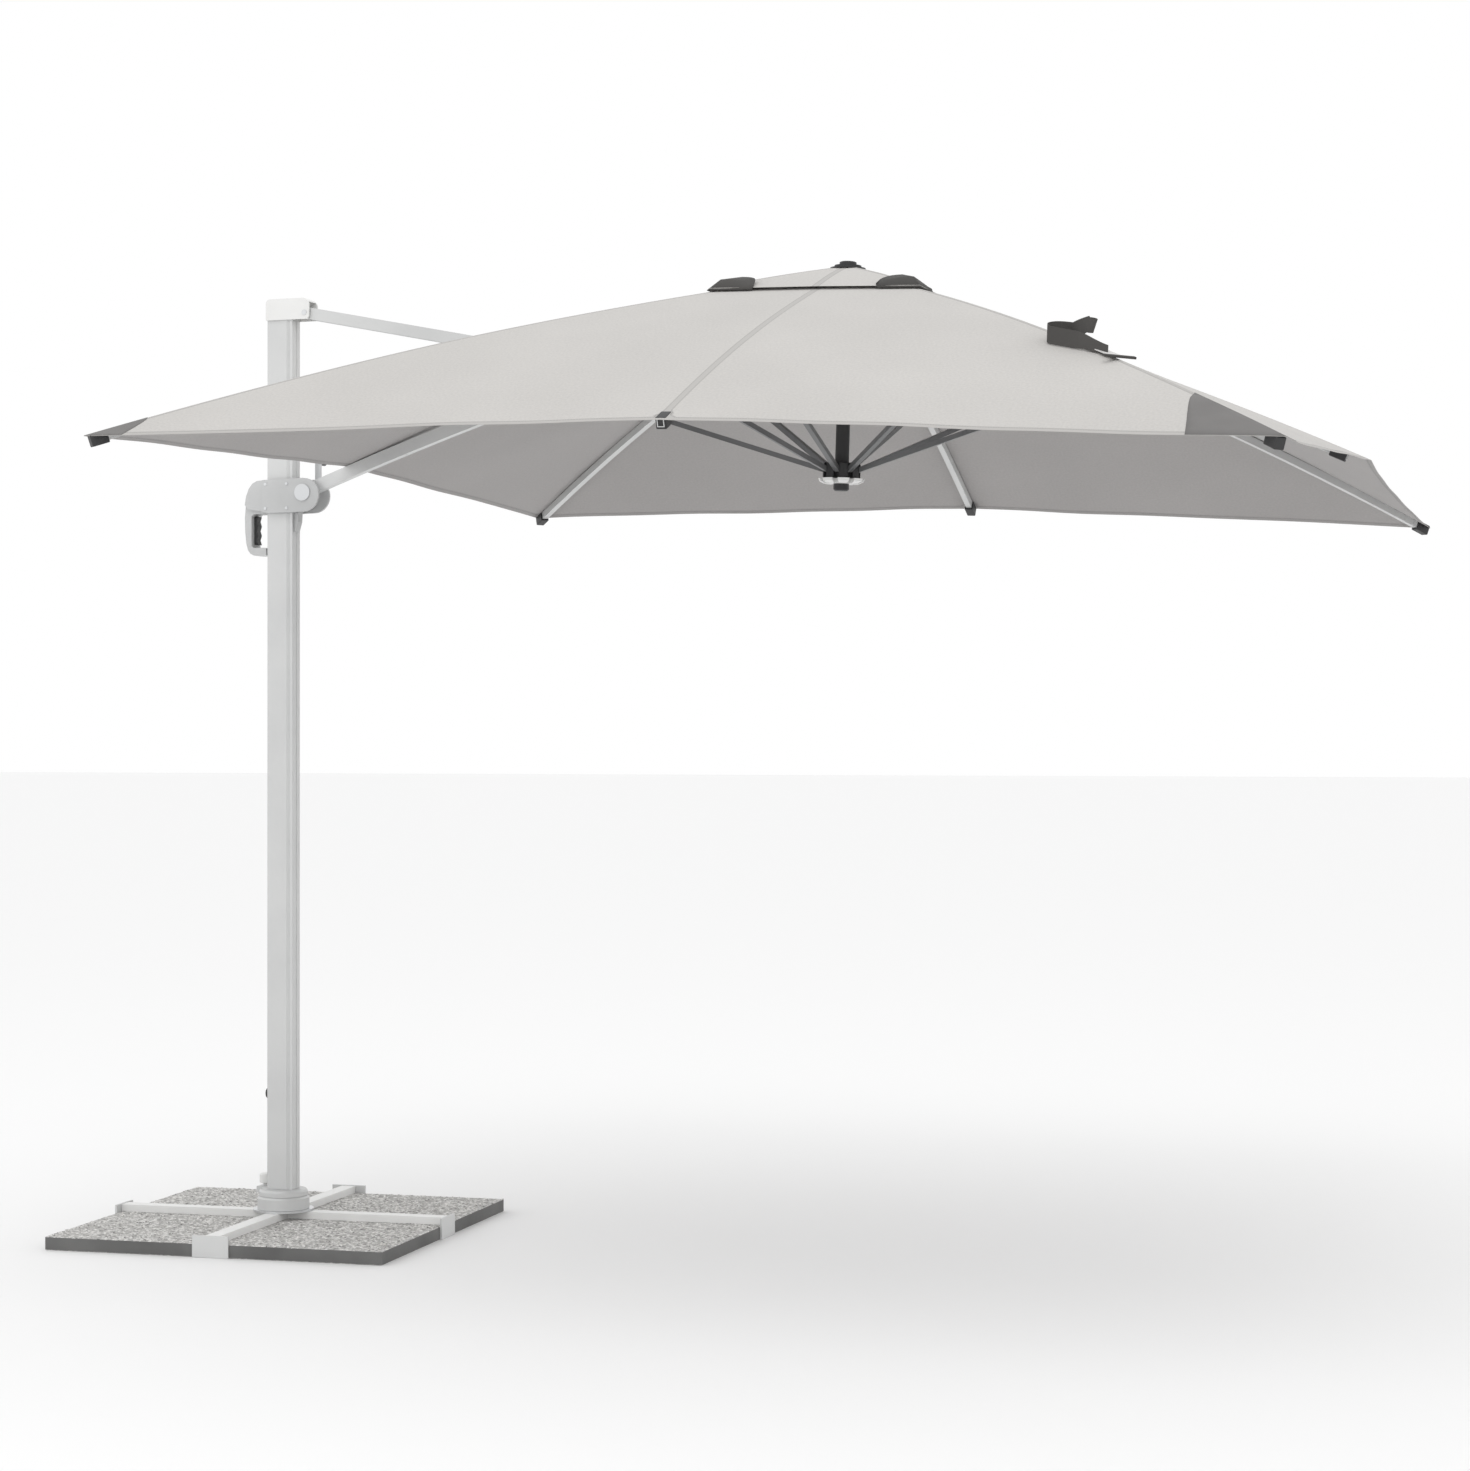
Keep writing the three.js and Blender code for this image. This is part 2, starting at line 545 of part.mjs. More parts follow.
// The vent flap is a closed ring of four sides, so it is one pyramid-shaped shell with a solid middle.
function ventShell(spans) {
  const rim = [];
  for (const [side, from, to, columns] of spans) {
    for (let j = 0; j < columns; j += 1) rim.push([side, from + ((to - from) * j) / columns]);
  }
  const rows = 5;
  const n = rim.length;
  const positions = [];
  for (const drop of [0, FABRIC]) {
    positions.push(0, 0, FLAP_APEX - drop);
    for (let i = 1; i <= rows; i += 1) {
      const t = i / rows;
      const q = VENT_Q * t;
      for (const [side, s] of rim) {
        const [x, y] = fabricPoint(side, q, s);
        const z = fabricPoint(side, VENT_Q, s)[2] + 10;
        positions.push(x, y, FLAP_APEX + (z - FLAP_APEX) * t - drop);
      }
    }
  }
  const layer = 1 + rows * n;
  const index = [];
  const at = (k, i, j) => k * layer + (i === 0 ? 0 : 1 + (i - 1) * n + (j % n));
  for (let j = 0; j < n; j += 1) {
    index.push(at(0, 0, 0), at(0, 1, j), at(0, 1, j + 1));
    index.push(at(1, 0, 0), at(1, 1, j + 1), at(1, 1, j));
    for (let i = 1; i < rows; i += 1) {
      index.push(at(0, i, j), at(0, i + 1, j), at(0, i + 1, j + 1));
      index.push(at(0, i, j), at(0, i + 1, j + 1), at(0, i, j + 1));
      index.push(at(1, i, j), at(1, i + 1, j + 1), at(1, i + 1, j));
      index.push(at(1, i, j), at(1, i, j + 1), at(1, i + 1, j + 1));
    }
    index.push(at(0, rows, j), at(1, rows, j), at(1, rows, j + 1));
    index.push(at(0, rows, j), at(1, rows, j + 1), at(0, rows, j + 1));
  }
  const g = new THREE.BufferGeometry();
  g.setAttribute('position', new THREE.BufferAttribute(new Float32Array(positions), 3));
  g.setIndex(index);
  g.computeVertexNormals();
  return g;
}

buildBase();
buildMast();
buildStay();
buildSlider();
buildBoom();
buildRibs();
buildHub();
buildPanels();

export default part;
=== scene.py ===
"""Cantilever parasol: materials, cloth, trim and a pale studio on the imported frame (Blender 4.5)."""

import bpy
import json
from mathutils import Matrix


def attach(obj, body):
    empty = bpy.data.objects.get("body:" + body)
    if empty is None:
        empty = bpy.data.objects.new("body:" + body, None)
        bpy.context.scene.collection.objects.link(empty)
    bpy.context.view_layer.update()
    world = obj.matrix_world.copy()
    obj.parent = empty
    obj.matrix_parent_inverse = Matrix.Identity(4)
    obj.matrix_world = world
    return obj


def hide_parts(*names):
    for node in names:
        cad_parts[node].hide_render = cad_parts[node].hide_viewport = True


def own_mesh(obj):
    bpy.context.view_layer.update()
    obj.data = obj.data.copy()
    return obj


bl_info = {
    "name": "Cantilever parasol",
    "version": (1, 0, 0),
    "blender": (4, 5, 0),
    "location": "View3D > Sidebar > Parasol",
    "description": "Builds a square cantilever parasol with its cloth, trim, slabs and studio",
    "category": "Object",
}

import json
import math

import bmesh
import bpy
from mathutils import Matrix, Vector

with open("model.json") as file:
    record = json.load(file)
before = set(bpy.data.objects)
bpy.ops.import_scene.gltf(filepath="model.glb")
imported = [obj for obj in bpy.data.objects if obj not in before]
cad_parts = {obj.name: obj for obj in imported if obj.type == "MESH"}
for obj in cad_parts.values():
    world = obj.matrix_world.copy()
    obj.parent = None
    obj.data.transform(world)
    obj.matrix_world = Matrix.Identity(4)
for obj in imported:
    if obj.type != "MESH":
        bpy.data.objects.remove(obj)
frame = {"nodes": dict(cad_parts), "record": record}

# Canopy, in its own tilted frame (metres)
POLE_X = 1.737
EDGE_Z = 2.1733
TILT = math.radians(1.856)
HALF_IN, HALF_OUT, HALF_Y = 1.533, 1.467, 1.5
APEX, FLAP_APEX = 0.602, 0.620
BULGE = 0.044
RISE = {"outer": 0.080, "inner": 0.050, "near": 0.045, "far": 0.045}
VENT_Q = 0.2
HEM_WAIST = 0.048  # how far a hem curves in between rib ends
CLOTH = 0.0009
MM = 1000.0

# Rows of the cloth, from the crown (q = 0) to the hem (q = 1)
MAIN_FIRST_Q, MAIN_ROWS = 0.1, 44
VENT_FIRST_Q, VENT_ROWS = 0.004, 12
VENT_LIFT, VENT_CROWN = 0.010, 0.004

# The slit that the stay passes through, at the middle of the inner side
SLIT_FROM_Q, SLIT_TO_Q, SLIT_RAMP_Q = 0.40, 0.60, 0.05
SLIT_GAP, SLIT_HALF = 0.0003, 0.0262

# Sewing, in millimetres
SEAM_HALF_MM, STITCH_AT_MM, STITCH_HALF_MM = 11.0, 8.0, 0.9
STITCH_RATE = 1.6
WEAVE_SCALE = 2600.0
AGGREGATE_SCALE = 105.0

# The base's turn, the slabs' inset, size and thickness, and the canopy's place and tilt
BASE_TURN = math.radians(3.73)
SLAB_INNER, SLAB_SIZE, SLAB_THICK = 0.0165, 0.499, 0.038
CANOPY = Matrix.Translation((POLE_X, 0, EDGE_Z)) @ Matrix.Rotation(TILT, 4, "Y")

RIBS = {
    "near": (0, -HALF_Y, [("near", -0.5, 0.5, 40)]),
    "near_outer": (HALF_OUT, -HALF_Y, [("near", 0.5, 1, 22), ("outer", -1, -0.5, 22)]),
    "outer": (HALF_OUT, 0, [("outer", -0.5, 0.5, 40)]),
    "far_outer": (HALF_OUT, HALF_Y, [("outer", 0.5, 1, 22), ("far", -1, -0.5, 22)]),
    "far": (0, HALF_Y, [("far", -0.5, 0.5, 40)]),
    "far_inner": (-HALF_IN, HALF_Y, [("far", 0.5, 1, 22), ("inner", -1, 0, 44)]),
    "near_inner": (-HALF_IN, -HALF_Y, [("inner", 0, 1, 44), ("near", -1, -0.5, 22)]),
}


# ---- shader effects -------------------------------------------------------------------------------
def group_start(name, inputs, outputs):
    tree = bpy.data.node_groups.new(name, "ShaderNodeTree")
    for label, kind, value in inputs:
        item = tree.interface.new_socket(name=label, in_out="INPUT", socket_type=kind)
        if value is not None:
            item.default_value = value
    for label, kind in outputs:
        tree.interface.new_socket(name=label, in_out="OUTPUT", socket_type=kind)
    return tree, tree.nodes.new("NodeGroupInput"), tree.nodes.new("NodeGroupOutput")


def math_node(tree, operation, a, b=None, c=None):
    node = tree.nodes.new("ShaderNodeMath")
    node.operation = operation
    for index, value in enumerate((a, b, c)):
        if value is None:
            continue
        if isinstance(value, (int, float)):
            node.inputs[index].default_value = value
        else:
            tree.links.new(value, node.inputs[index])
    return node.outputs[0]


def grain_group():
    """Fine orange-peel grain: a 0-1 mask of slow soiling and a bumped normal."""
    tree, gin, gout = group_start(
        "Surface grain",
        [("Scale", "NodeSocketFloat", 600.0), ("Strength", "NodeSocketFloat", 0.1)],
        [("Mask", "NodeSocketFloat"), ("Normal", "NodeSocketVector")],
    )
    coord = tree.nodes.new("ShaderNodeTexCoord")
    fine = tree.nodes.new("ShaderNodeTexNoise")
    slow = tree.nodes.new("ShaderNodeTexNoise")
    slow.inputs["Scale"].default_value = 3.5
    slow.inputs["Detail"].default_value = 6.0
    bump = tree.nodes.new("ShaderNodeBump")
    bump.inputs["Distance"].default_value = 0.0004
    tree.links.new(coord.outputs["Object"], fine.inputs["Vector"])
    tree.links.new(coord.outputs["Object"], slow.inputs["Vector"])
    tree.links.new(gin.outputs["Scale"], fine.inputs["Scale"])
    tree.links.new(fine.outputs["Fac"], bump.inputs["Height"])
    tree.links.new(gin.outputs["Strength"], bump.inputs["Strength"])
    tree.links.new(slow.outputs["Fac"], gout.inputs["Mask"])
    tree.links.new(bump.outputs["Normal"], gout.inputs["Normal"])
    return tree


def weave_group():
    """Woven cloth with sewn seams: thread, cloud, seam and stitch masks, and a bumped normal."""
    tree, gin, gout = group_start(
        "Sewn weave",
        [("Scale", "NodeSocketFloat", 900.0), ("Strength", "NodeSocketFloat", 0.35)],
        [
            ("Thread", "NodeSocketFloat"),
            ("Cloud", "NodeSocketFloat"),
            ("Seam", "NodeSocketFloat"),
            ("Stitch", "NodeSocketFloat"),
            ("Normal", "NodeSocketVector"),
        ],
    )
    uv = tree.nodes.new("ShaderNodeUVMap")
    uv.uv_map = "Cloth"
    split = tree.nodes.new("ShaderNodeSeparateXYZ")
    tree.links.new(uv.outputs["UV"], split.inputs[0])
    waves = []
    for axis in ("X", "Y"):
        phase = math_node(tree, "MULTIPLY", split.outputs[axis], gin.outputs["Scale"])
        waves.append(math_node(tree, "SINE", phase))
    thread = math_node(tree, "MULTIPLY", waves[0], waves[1])
    slow = tree.nodes.new("ShaderNodeTexNoise")
    slow.inputs["Scale"].default_value = 2.2
    slow.inputs["Detail"].default_value = 8.0
    tree.links.new(uv.outputs["UV"], slow.inputs["Vector"])
    slub = tree.nodes.new("ShaderNodeTexNoise")
    slub.inputs["Scale"].default_value = 140.0
    slub.inputs["Detail"].default_value = 4.0
    tree.links.new(uv.outputs["UV"], slub.inputs["Vector"])
    seam = tree.nodes.new("ShaderNodeAttribute")
    seam.attribute_name = "seam_mm"
    ridge = math_node(tree, "LESS_THAN", seam.outputs["Fac"], SEAM_HALF_MM)
    line = math_node(tree, "COMPARE", seam.outputs["Fac"], STITCH_AT_MM, STITCH_HALF_MM)
    along = tree.nodes.new("ShaderNodeAttribute")
    along.attribute_name = "along_mm"
    dash = math_node(tree, "SINE", math_node(tree, "MULTIPLY", along.outputs["Fac"], STITCH_RATE))
    stitch = math_node(tree, "MULTIPLY", line, math_node(tree, "GREATER_THAN", dash, -0.2))
    height = math_node(tree, "MULTIPLY_ADD", thread, 0.12, math_node(tree, "MULTIPLY", ridge, 0.8))
    height = math_node(tree, "ADD", height, math_node(tree, "MULTIPLY", slub.outputs["Fac"], 0.5))
    height = math_node(tree, "SUBTRACT", height, math_node(tree, "MULTIPLY", stitch, 0.6))
    bump = tree.nodes.new("ShaderNodeBump")
    bump.inputs["Distance"].default_value = 0.0012
    tree.links.new(height, bump.inputs["Height"])
    tree.links.new(gin.outputs["Strength"], bump.inputs["Strength"])
    tree.links.new(slub.outputs["Fac"], gout.inputs["Thread"])
    tree.links.new(slow.outputs["Fac"], gout.inputs["Cloud"])
    tree.links.new(ridge, gout.inputs["Seam"])
    tree.links.new(stitch, gout.inputs["Stitch"])
    tree.links.new(bump.outputs["Normal"], gout.inputs["Normal"])
    return tree


def aggregate_group():
    """Exposed aggregate: a random tone for each pebble, a mask of the gaps and a bumped normal."""
    tree, gin, gout = group_start(
        "Exposed aggregate",
        [("Scale", "NodeSocketFloat", 105.0)],
        [("Tone", "NodeSocketFloat"), ("Gap", "NodeSocketFloat"), ("Normal", "NodeSocketVector")],
    )
    coord = tree.nodes.new("ShaderNodeTexCoord")
    cells = tree.nodes.new("ShaderNodeTexVoronoi")
    cells.inputs["Randomness"].default_value = 1.0
    tree.links.new(coord.outputs["Object"], cells.inputs["Vector"])
    tree.links.new(gin.outputs["Scale"], cells.inputs["Scale"])
    tone = tree.nodes.new("ShaderNodeSeparateColor")
    tree.links.new(cells.outputs["Color"], tone.inputs[0])
    gap = tree.nodes.new("ShaderNodeMapRange")
    gap.inputs["From Min"].default_value = 0.35
    gap.inputs["From Max"].default_value = 0.7
    tree.links.new(cells.outputs["Distance"], gap.inputs["Value"])
    bump = tree.nodes.new("ShaderNodeBump")
    bump.invert = True
    bump.inputs["Strength"].default_value = 0.8
    bump.inputs["Distance"].default_value = 0.003
    tree.links.new(cells.outputs["Distance"], bump.inputs["Height"])
    tree.links.new(tone.outputs[0], gout.inputs["Tone"])
    tree.links.new(gap.outputs["Result"], gout.inputs["Gap"])
    tree.links.new(bump.outputs["Normal"], gout.inputs["Normal"])
    return tree


# ---- materials ------------------------------------------------------------------------------------
def shader_start(name):
    mat = bpy.data.materials.new(name)
    mat.use_nodes = True
    tree = mat.node_tree
    return mat, tree, tree.nodes["Principled BSDF"]


def add_group(tree, name, **values):
    node = tree.nodes.new("ShaderNodeGroup")
    node.node_tree = bpy.data.node_groups[name]
    for key, value in values.items():
        node.inputs[key].default_value = value
    return node


def ramp(tree, socket, low, high, start=0.3, end=0.7):
    node = tree.nodes.new("ShaderNodeValToRGB")
    node.color_ramp.elements[0].position = start
    node.color_ramp.elements[0].color = (*low, 1)
    node.color_ramp.elements[1].position = end
    node.color_ramp.elements[1].color = (*high, 1)
    tree.links.new(socket, node.inputs[0])
    return node.outputs[0]


def mix(tree, factor, a, b):
    """Blends two colours, each a tuple or a socket, by a number or a socket."""
    node = tree.nodes.new("ShaderNodeMix")
    node.data_type = "RGBA"
    if isinstance(factor, float):
        node.inputs[0].default_value = factor
    else:
        tree.links.new(factor, node.inputs[0])
    for index, value in ((6, a), (7, b)):
        if isinstance(value, tuple):
            node.inputs[index].default_value = (*value, 1)
        else:
            tree.links.new(value, node.inputs[index])
    return node.outputs[2]


def grained(name, low, high, rough, metal, scale, strength, coat=0.0):
    """Moulded, painted or webbed surface: two tones of a colour under a fine grain."""
    mat, tree, bsdf = shader_start(name)
    grain = add_group(tree, "Surface grain", Scale=scale, Strength=strength)
    tree.links.new(ramp(tree, grain.outputs["Mask"], low, high), bsdf.inputs["Base Color"])
    spread = tree.nodes.new("ShaderNodeMapRange")
    spread.inputs["To Min"].default_value = rough - 0.06
    spread.inputs["To Max"].default_value = rough + 0.06
    tree.links.new(grain.outputs["Mask"], spread.inputs["Value"])
    tree.links.new(spread.outputs["Result"], bsdf.inputs["Roughness"])
    tree.links.new(grain.outputs["Normal"], bsdf.inputs["Normal"])
    bsdf.inputs["Metallic"].default_value = metal
    bsdf.inputs["Coat Weight"].default_value = coat
    return mat


def cloth_material(name, low, high, seam_color, strength):
    """Woven polyester that lets a little light through."""
    mat, tree, bsdf = shader_start(name)
    weave = add_group(tree, "Sewn weave", Scale=WEAVE_SCALE, Strength=strength)
    base = ramp(tree, weave.outputs["Cloud"], low, high, 0.25, 0.75)
    thread = ramp(tree, weave.outputs["Thread"], tuple(0.9 * c for c in low), high, 0.3, 0.7)
    color = mix(tree, 0.45, base, thread)
    color = mix(tree, weave.outputs["Seam"], color, seam_color)
    color = mix(tree, weave.outputs["Stitch"], color, tuple(0.6 * c for c in seam_color))
    tree.links.new(color, bsdf.inputs["Base Color"])
    tree.links.new(weave.outputs["Normal"], bsdf.inputs["Normal"])
    bsdf.inputs["Roughness"].default_value = 0.88
    bsdf.inputs["Sheen Weight"].default_value = 0.15
    through = tree.nodes.new("ShaderNodeBsdfTranslucent")
    tree.links.new(color, through.inputs["Color"])
    blend = tree.nodes.new("ShaderNodeMixShader")
    blend.inputs[0].default_value = 0.12
    out = tree.nodes["Material Output"]
    tree.links.new(bsdf.outputs[0], blend.inputs[1])
    tree.links.new(through.outputs[0], blend.inputs[2])
    tree.links.new(blend.outputs[0], out.inputs["Surface"])
    return mat


def stone_material():
    """Concrete with pebbles of many tones."""
    mat, tree, bsdf = shader_start("Exposed aggregate concrete")
    cells = add_group(tree, "Exposed aggregate", Scale=AGGREGATE_SCALE)
    color = ramp(tree, cells.outputs["Tone"], (0.20, 0.197, 0.19), (0.84, 0.83, 0.81), 0.04, 0.62)
    color = mix(tree, cells.outputs["Gap"], color, (0.48, 0.472, 0.46))
    tree.links.new(color, bsdf.inputs["Base Color"])
    tree.links.new(cells.outputs["Normal"], bsdf.inputs["Normal"])
    bsdf.inputs["Roughness"].default_value = 0.9
    return mat


def shade(color, factor):
    """A colour made lighter or darker."""
    return tuple(min(1.0, factor * channel) for channel in color)


# Label, low and high colour, roughness, metallic, grain scale, grain strength, coat
GRAINED = {
    "powder": ("Silver powder coat", (0.59, 0.595, 0.595), (0.66, 0.665, 0.66), 0.42, 0.25, 1500, 0.12, 0.1),
    "white": ("White powder coat", (0.78, 0.78, 0.77), (0.86, 0.86, 0.85), 0.45, 0.05, 1500, 0.12, 0.1),
    "white_plastic": ("White moulded plastic", (0.74, 0.74, 0.73), (0.83, 0.83, 0.82), 0.4, 0.0, 900, 0.08),
    "silver": ("Silver moulded plastic", (0.46, 0.465, 0.465), (0.58, 0.585, 0.585), 0.45, 0.1, 700, 0.15),
    "steel": ("Brushed steel", (0.60, 0.61, 0.62), (0.72, 0.73, 0.74), 0.3, 0.95, 2400, 0.15),
    "dark": ("Black moulded plastic", (0.018, 0.018, 0.019), (0.032, 0.032, 0.033), 0.5, 0.0, 800, 0.2),
    "strut_grey": ("Grey anodised bar", (0.14, 0.142, 0.145), (0.19, 0.192, 0.195), 0.42, 0.45, 1500, 0.1),
    # Plain cast side of a slab, its dark tone painted shade of the side faces.
    "slab_edge_shaded": ("Cast concrete edge", (0.11, 0.11, 0.108), (0.19, 0.19, 0.186), 0.9, 0.0, 420, 0.6),
    "pale": ("Pale webbing", (0.52, 0.51, 0.50), (0.66, 0.65, 0.64), 0.85, 0.0, 1300, 0.5),
    "patch": ("Grey corner reinforcement", (0.16, 0.155, 0.152), (0.22, 0.215, 0.21), 0.85, 0.0, 1300, 0.5),
}


def build_materials(settings):
    """Every material by its short name; cloth and webbing take their colours from the settings."""
    outside = tuple(settings.cloth_outside)
    inside = tuple(settings.cloth_inside_shaded)
    webbing = tuple(settings.webbing)
    grain_group()
    weave_group()
    aggregate_group()
    mats = {key: grained(*values) for key, values in GRAINED.items()}
    mats["stone"] = stone_material()
    mats["cloth_top"] = cloth_material(
        "Canopy polyester outside", outside, shade(outside, 1.165), shade(outside, 0.907), 0.35)
    # The inside is the outside polyester darkened as painted shade of the canopy's underside.
    mats["cloth_under"] = cloth_material(
        "Canopy polyester inside", inside, shade(inside, 1.16), shade(inside, 0.92), 0.3)
    mats["charcoal"] = grained("Charcoal webbing", webbing, shade(webbing, 1.67), 0.85, 0.0, 1300, 0.6)
    return mats


# ---- mesh tools -----------------------------------------------------------------------------------
def canopy_point(side, q, s):
    """A point of the taut cloth: q from crown to hem, s from -1 to 1 along a side."""
    hem = q * (1 - HEM_WAIST * q * abs(s) * (1 - abs(s)))
    z = APEX * (1 - q) + 4 * BULGE * q * (1 - q) + RISE[side] * q * q * (1 - abs(s))
    if side == "outer":
        return Vector((HALF_OUT * hem, HALF_Y * q * s, z))
    if side == "inner":
        return Vector((-HALF_IN * hem, -HALF_Y * q * s, z))
    half = HALF_OUT if (s > 0) == (side == "near") else HALF_IN
    if side == "near":
        return Vector((half * q * s, -HALF_Y * hem, z))
    return Vector((-half * q * s, HALF_Y * hem, z))


def ripple(x, y, q):
    """Slack in the cloth: long shallow folds that fade out at the middle."""
    r = math.hypot(x, y)
    a = math.atan2(y, x)
    fold = math.sin(2.3 * x + 3.1 * y) * math.cos(3.7 * x - 1.9 * y + 0.6)
    pull = math.sin(26 * a + 5 * r) * max(0.0, q - 0.55) ** 2
    return 0.0030 * fold * q + 0.0045 * pull


def finish_mesh(name, bm, mats, smooth=True, turn=None):
    """Turns a bmesh into an object with its materials."""
    bmesh.ops.recalc_face_normals(bm, faces=bm.faces)
    mesh = bpy.data.meshes.new(name)
    if turn is not None:
        bm.transform(turn)
    bm.to_mesh(mesh)
    bm.free()
    for mat in mats:
        mesh.materials.append(mat)
    if smooth:
        mesh.shade_smooth()
    obj = bpy.data.objects.new(name, mesh)
    bpy.context.scene.collection.objects.link(obj)
    return obj


def bevelled(name, bm, mats, width, turn=None):
    """Rounds the hard edges of a bmesh and turns it into an object."""
    hard = [e for e in bm.edges if e.calc_face_angle(0) > 0.5]
    bmesh.ops.bevel(bm, geom=hard, offset=width, segments=3, profile=0.7, affect="EDGES")
    obj = finish_mesh(name, bm, mats, turn=turn)
    obj.data.set_sharp_from_angle(angle=math.radians(40))
    return obj


def box_mesh(low, high):
    """A box between two corners."""
    bm = bmesh.new()
    bmesh.ops.create_cube(bm, size=1)
    size = Vector(high) - Vector(low)
    middle = (Vector(high) + Vector(low)) / 2
    bmesh.ops.scale(bm, vec=size, verts=bm.verts)
    bmesh.ops.translate(bm, vec=middle, verts=bm.verts)
    return bm


def ribbon(name, points, across, thick, mat, turn=None):
    """A band of webbing along points; across is the half-width vector at each point."""
    bm = bmesh.new()
    rows = []
    for i, (p, w) in enumerate(zip(points, across)):
        a = points[max(i - 1, 0)]
        b = points[min(i + 1, len(points) - 1)]
        n = (b - a).cross(w).normalized() * (thick / 2)
        rows.append([bm.verts.new(v) for v in (p - w - n, p + w - n, p + w + n, p - w + n)])
    for r0, r1 in zip(rows, rows[1:]):
        for k in range(4):
            bm.faces.new((r0[k], r0[(k + 1) % 4], r1[(k + 1) % 4], r1[k]))
    bm.faces.new(rows[0][::-1])
    bm.faces.new(rows[-1])
    obj = finish_mesh(name, bm, [mat], turn=turn)
    obj.data.set_sharp_from_angle(angle=math.radians(40))
    return obj


def geometry_tree(name, inputs):
    """A geometry tree with named inputs, given as (name, socket type)."""
    tree = bpy.data.node_groups.new(name, "GeometryNodeTree")
    tree.interface.new_socket(name="Geometry", in_out="INPUT", socket_type="NodeSocketGeometry")
    for label, kind in inputs:
        tree.interface.new_socket(name=label, in_out="INPUT", socket_type=kind)
    tree.interface.new_socket(name="Geometry", in_out="OUTPUT", socket_type="NodeSocketGeometry")
    return tree, tree.nodes.new("NodeGroupInput"), tree.nodes.new("NodeGroupOutput")


def apply_tree(obj, tree, values):
    """Runs a geometry tree on obj with the named values, and leaves a plain mesh."""
    modifier = obj.modifiers.new(tree.name, "NODES")
    modifier.node_group = tree
    for item in tree.interface.items_tree:
        if item.in_out == "INPUT" and item.name in values:
            modifier[item.identifier] = values[item.name]
    obj.update_tag()
    depsgraph = bpy.context.evaluated_depsgraph_get()
    mesh = bpy.data.meshes.new_from_object(obj.evaluated_get(depsgraph))
    obj.modifiers.clear()
    obj.data = mesh


# ---- pieces ---------------------------------------------------------------------------------------
def paint_frame(mats):
    """Gives each CAD node the material of its slot; cloth nodes are covered by the canopy."""
    slots = {entry["node"]: entry["material_slot"] for entry in frame["record"]["subparts"]}
    for name, obj in frame["nodes"].items():
        mat = mats.get(slots[name], mats["cloth_top"])
        obj.data.materials.clear()
        obj.data.materials.append(mat)
        if not name.startswith("panel"):
            obj.data.shade_smooth()
            obj.data.set_sharp_from_angle(angle=math.radians(32))


def pebble_tree():
    """Small stones pressed into the top face of a slab."""
    tree, gin, gout = geometry_tree("Pebbles", [
        ("Spacing", "NodeSocketFloat"), ("Radius", "NodeSocketFloat"), ("Seed", "NodeSocketInt"),
        ("Material", "NodeSocketMaterial"),
    ])
    new = tree.nodes.new
    normal = new("GeometryNodeInputNormal")
    split = new("ShaderNodeSeparateXYZ")
    up = new("FunctionNodeCompare")
    up.data_type = "FLOAT"
    up.operation = "GREATER_THAN"
    up.inputs["B"].default_value = 0.95
    spread = new("GeometryNodeDistributePointsOnFaces")
    spread.distribute_method = "POISSON"
    spread.inputs["Density Max"].default_value = 14000
    stone = new("GeometryNodeMeshIcoSphere")
    stone.inputs["Subdivisions"].default_value = 1
    place = new("GeometryNodeInstanceOnPoints")
    size = new("FunctionNodeRandomValue")
    size.data_type = "FLOAT_VECTOR"
    size.inputs["Min"].default_value = (0.5, 0.5, 0.18)
    size.inputs["Max"].default_value = (1.1, 1.0, 0.42)
    spin = new("FunctionNodeRandomValue")
    spin.data_type = "FLOAT_VECTOR"
    spin.inputs["Max"].default_value = (0.3, 0.3, 6.28)
    solid = new("GeometryNodeRealizeInstances")
    paint = new("GeometryNodeSetMaterial")
    join = new("GeometryNodeJoinGeometry")
    link = tree.links.new
    link(gin.outputs["Spacing"], spread.inputs["Distance Min"])
    link(gin.outputs["Seed"], spread.inputs["Seed"])
    link(gin.outputs["Radius"], stone.inputs["Radius"])
    link(gin.outputs["Material"], paint.inputs["Material"])
    link(normal.outputs[0], split.inputs[0])
    link(split.outputs["Z"], up.inputs["A"])
    link(gin.outputs[0], spread.inputs["Mesh"])
    link(up.outputs[0], spread.inputs["Selection"])
    link(spread.outputs["Points"], place.inputs["Points"])
    link(stone.outputs["Mesh"], place.inputs["Instance"])
    link(spin.outputs["Value"], place.inputs["Rotation"])
    link(size.outputs["Value"], place.inputs["Scale"])
    link(place.outputs[0], solid.inputs[0])
    link(solid.outputs[0], paint.inputs[0])
    link(gin.outputs[0], join.inputs[0])
    link(paint.outputs[0], join.inputs[0])
    link(join.outputs[0], gout.inputs[0])
    return tree


def build_slabs(mats, settings):
    """Four slabs with pebbled tops and plain edges; the edges are darkened as painted shade."""
    turn = Matrix.Rotation(BASE_TURN, 4, "Z")
    tree = pebble_tree()
    for index, sx, sy in ((1, 1, -1), (2, 1, 1), (3, -1, 1), (4, -1, -1)):
        xs = sorted((sx * SLAB_INNER, sx * (SLAB_INNER + SLAB_SIZE)))
        ys = sorted((sy * SLAB_INNER, sy * (SLAB_INNER + SLAB_SIZE)))
        bm = box_mesh((xs[0], ys[0], 0), (xs[1], ys[1], SLAB_THICK))
        obj = bevelled(f"paving_slab_{index}", bm, [mats["stone"], mats["slab_edge_shaded"]], 0.003, turn)
        for face in obj.data.polygons:
            # Side faces take the edge material, whose dark tone is painted shade.
            face.material_index = 1 if abs(face.normal.z) < 0.5 else 0
        apply_tree(obj, tree, {
            "Spacing": settings.pebble_spacing, "Radius": settings.pebble_radius, "Seed": index,
            "Material": mats["stone"],
        })
        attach(obj, "base")
        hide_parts(f"slab_{index}")


